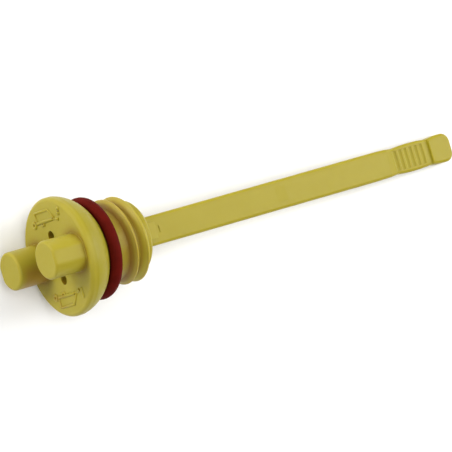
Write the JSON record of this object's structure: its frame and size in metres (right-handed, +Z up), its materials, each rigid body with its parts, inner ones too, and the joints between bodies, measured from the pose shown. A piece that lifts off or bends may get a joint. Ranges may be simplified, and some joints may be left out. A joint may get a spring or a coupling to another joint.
{
  "type": "oil dipstick",
  "caption": "Moulded plastic oil dipstick with a peg finger grip, a coarse screw thread, a rubber O-ring seal and a long flat bar with a grooved oil level end.",
  "frame": {"origin": "the ground under the middle of the part as it lies, on the rim of the flange and the tip of the bar", "axes": "+Z up. +X is the level direction from the finger grip to the tip; the bar's own axis dips 6.2 degrees below it. The two pegs stand one above the other."},
  "size_m": [0.1544, 0.035, 0.0349],
  "materials": {
    "moulding": "satin",
    "seal": "satin"
  },
  "bodies": {
    "root": {"dipstick": "moulding", "o_ring": "seal"}
  },
  "joints": []
}
